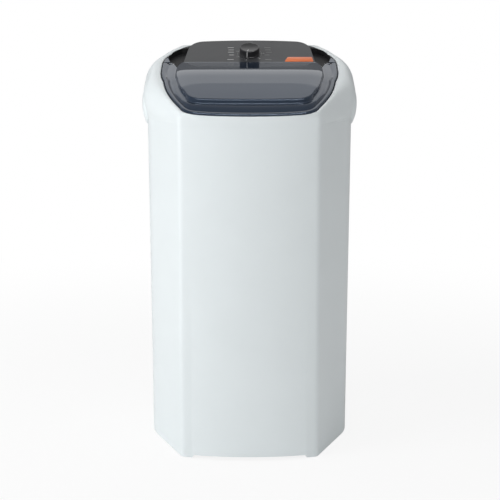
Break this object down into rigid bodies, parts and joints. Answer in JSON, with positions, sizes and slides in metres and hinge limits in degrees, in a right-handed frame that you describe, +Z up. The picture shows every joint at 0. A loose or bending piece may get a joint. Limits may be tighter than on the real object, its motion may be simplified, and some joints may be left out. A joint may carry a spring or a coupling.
{
  "type": "spin dryer",
  "caption": "Top-loading spin dryer: eight-sided moulded cabinet, smoked hinged lid, timer knob, perforated basket on a sprung motor.",
  "frame": {"origin": "on the floor under the middle of the cabinet", "axes": "+Z up, -Y towards the front, +X to the right of someone facing the front"},
  "size_m": [0.572, 0.552, 1.0558],
  "materials": {
    "white_plastic": "satin moulded",
    "dark_plastic": "fine grained",
    "panel_plastic": "satin",
    "smoked_plastic": "polished smoked",
    "tub_plastic": "moulded",
    "steel": "turned",
    "stainless": "drawn and perforated",
    "galvanized": "zinc plated",
    "cast_aluminium": "as cast",
    "black_rubber": "moulded",
    "motor_enamel": "enamel",
    "brake_lining": "friction lining"
  },
  "bodies": {
    "root": {"cabinet": "white_plastic", "base_plate": "galvanized", "foot_pad_1": "black_rubber", "foot_pad_2": "black_rubber", "foot_pad_3": "black_rubber", "foot_pad_4": "black_rubber", "rear_cover": "white_plastic", "drain_pipe": "dark_plastic", "cord_gland": "black_rubber", "outer_tub": "tub_plastic", "tub_collar": "tub_plastic", "top_cover": "white_plastic", "lid_seal": "black_rubber", "lid_hinge_bracket_left": "steel", "lid_hinge_pin_left": "steel", "lid_hinge_bracket_right": "steel", "lid_hinge_pin_right": "steel", "control_housing": "dark_plastic", "control_fascia": "panel_plastic", "timer_body": "white_plastic", "lid_switch": "dark_plastic", "motor_plate": "galvanized", "suspension_spring_1": "steel", "suspension_spring_2": "steel", "suspension_spring_3": "steel", "bearing_housing": "cast_aluminium", "shaft_bearing_lower": "steel", "shaft_bearing_upper": "steel", "motor_bearing": "steel", "shaft_seal": "black_rubber", "motor_housing": "motor_enamel", "motor_stator": "steel", "brake_pivot_pin": "steel", "cable_anchor": "dark_plastic", "brake_cable": "black_rubber", "wiring_harness": "black_rubber", "capacitor": "cast_aluminium", "capacitor_clip": "galvanized"},
    "lid": {"lid": "smoked_plastic"},
    "timer_knob": {"timer_knob": "dark_plastic", "timer_spindle": "steel"},
    "basket": {"spin_basket": "stainless", "basket_floor": "stainless", "balance_ring": "white_plastic", "basket_hub": "cast_aluminium", "basket_nut": "steel", "drive_shaft": "steel", "motor_rotor": "steel", "cooling_fan": "dark_plastic", "brake_drum": "cast_aluminium"},
    "brake_lever": {"brake_lever": "galvanized", "brake_shoe": "brake_lining"},
    "lid_switch_plunger": {"lid_switch_plunger": "white_plastic"}
  },
  "joints": [
    {"name": "lid_hinge", "type": "hinge", "parent": "root", "child": "lid", "pos_m": [0, 0.079, 0.99003], "axis": [-1, 0, 0], "range_deg": [0, 108]},
    {"name": "timer_turn", "type": "hinge", "parent": "root", "child": "timer_knob", "pos_m": [0, 0.13534, 1.02029], "axis": [0, 0.4384, -0.8988], "range_deg": [0, 300]},
    {"name": "basket_spin", "type": "hinge", "parent": "root", "child": "basket", "pos_m": [0, 0, 0.4], "axis": [0, 0, 1], "continuous": true},
    {"name": "brake_lever_turn", "type": "hinge", "parent": "root", "child": "brake_lever", "pos_m": [0.078, -0.084, 0.185], "axis": [0, 0, -1], "range_deg": [0, 2.6]},
    {"name": "lid_switch_slide", "type": "slide", "parent": "root", "child": "lid_switch_plunger", "axis": [0, -0.2924, 0.9563], "range_m": [0, 0.004]}
  ],
  "couplings": [
    {"joint": "brake_lever_turn", "follows": "lid_hinge", "ratio": 0.024},
    {"joint": "lid_switch_slide", "follows": "lid_hinge", "m_per_rad": 0.0021}
  ]
}
